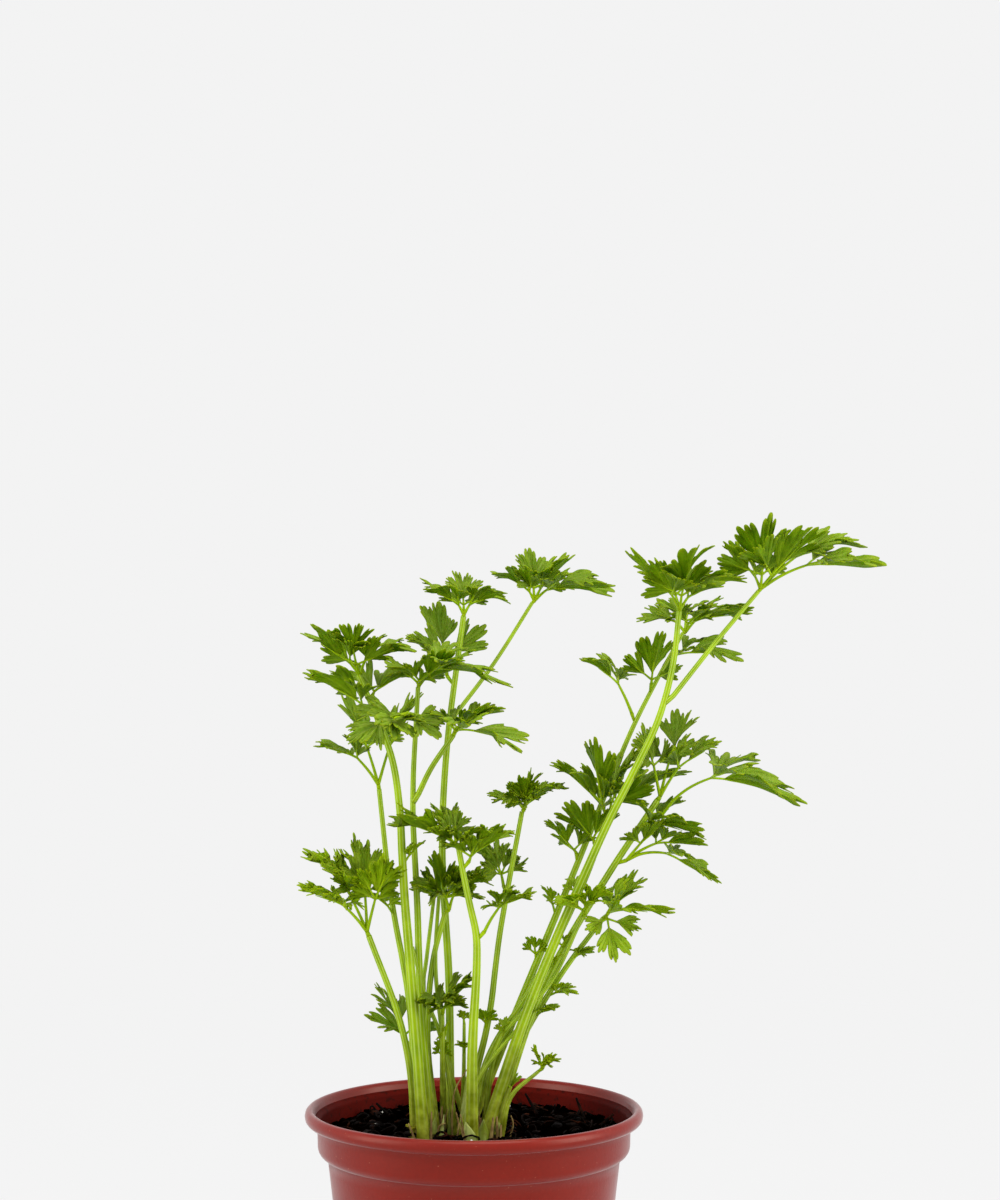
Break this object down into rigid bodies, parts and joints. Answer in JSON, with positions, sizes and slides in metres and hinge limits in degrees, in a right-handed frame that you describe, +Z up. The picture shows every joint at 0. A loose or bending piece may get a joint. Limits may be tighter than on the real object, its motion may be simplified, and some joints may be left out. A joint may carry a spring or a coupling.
{
  "type": "potted parsley",
  "caption": "Curly parsley plant in a round plastic nursery pot: frilled leaf blades on slim branching stalks, root crowns in compost.",
  "frame": {"origin": "middle of the pot's underside, on the plane that the pot stands on", "axes": "+Z up along the pot's axis, +X towards the side that the tall stalks lean to, +Y to the back"},
  "size_m": [0.2084, 0.12, 0.3145],
  "materials": {
    "pot_plastic": "terracotta-red moulded plastic, satin gloss",
    "compost": "moist peat and fine bark, matte",
    "root": "pale, slightly waxy root crown",
    "stalk": "fresh green, ribbed, satin",
    "leaf": "fresh green leaf, satin above and paler below"
  },
  "bodies": {
    "root": {"blade_back_arm": "leaf", "blade_back_crown": "leaf", "blade_back_upper": "leaf", "blade_centre_crown": "leaf", "blade_front_left": "leaf", "blade_front_low": "leaf", "blade_front_right": "leaf", "blade_inner_crown": "leaf", "blade_inner_left": "leaf", "blade_inner_near": "leaf", "blade_inner_top": "leaf", "blade_left_crown": "leaf", "blade_left_low": "leaf", "blade_left_near": "leaf", "blade_left_outer": "leaf", "blade_left_rear": "leaf", "blade_left_thin": "leaf", "blade_left_under": "leaf", "blade_low_crown": "leaf", "blade_mid_arm": "leaf", "blade_mid_crown": "leaf", "blade_mid_inner": "leaf", "blade_mid_low": "leaf", "blade_rear_crown": "leaf", "blade_rear_left": "leaf", "blade_rear_low": "leaf", "blade_rear_middle": "leaf", "blade_rear_right": "leaf", "blade_short_crown": "leaf", "blade_slim_crown": "leaf", "blade_slim_low": "leaf", "blade_sprout_right": "leaf", "blade_tall_arm": "leaf", "blade_tall_crown": "leaf", "blade_thin_right": "leaf", "crown_back": "root", "crown_left": "root", "crown_right": "root", "pot": "pot_plastic", "soil": "compost", "stalk_back": "stalk", "stalk_back_arm": "stalk", "stalk_centre": "stalk", "stalk_front": "stalk", "stalk_inner_right": "stalk", "stalk_left_inner": "stalk", "stalk_left_inner_arm": "stalk", "stalk_left_outer": "stalk", "stalk_left_thick": "stalk", "stalk_left_thin": "stalk", "stalk_low_right": "stalk", "stalk_mid_right": "stalk", "stalk_rear_right": "stalk", "stalk_short": "stalk", "stalk_short_thin": "stalk", "stalk_slim_middle": "stalk", "stalk_sprout_right": "stalk", "stalk_tall_right": "stalk", "stalk_tall_right_arm": "stalk", "stalk_thin_right": "stalk"}
  },
  "joints": []
}
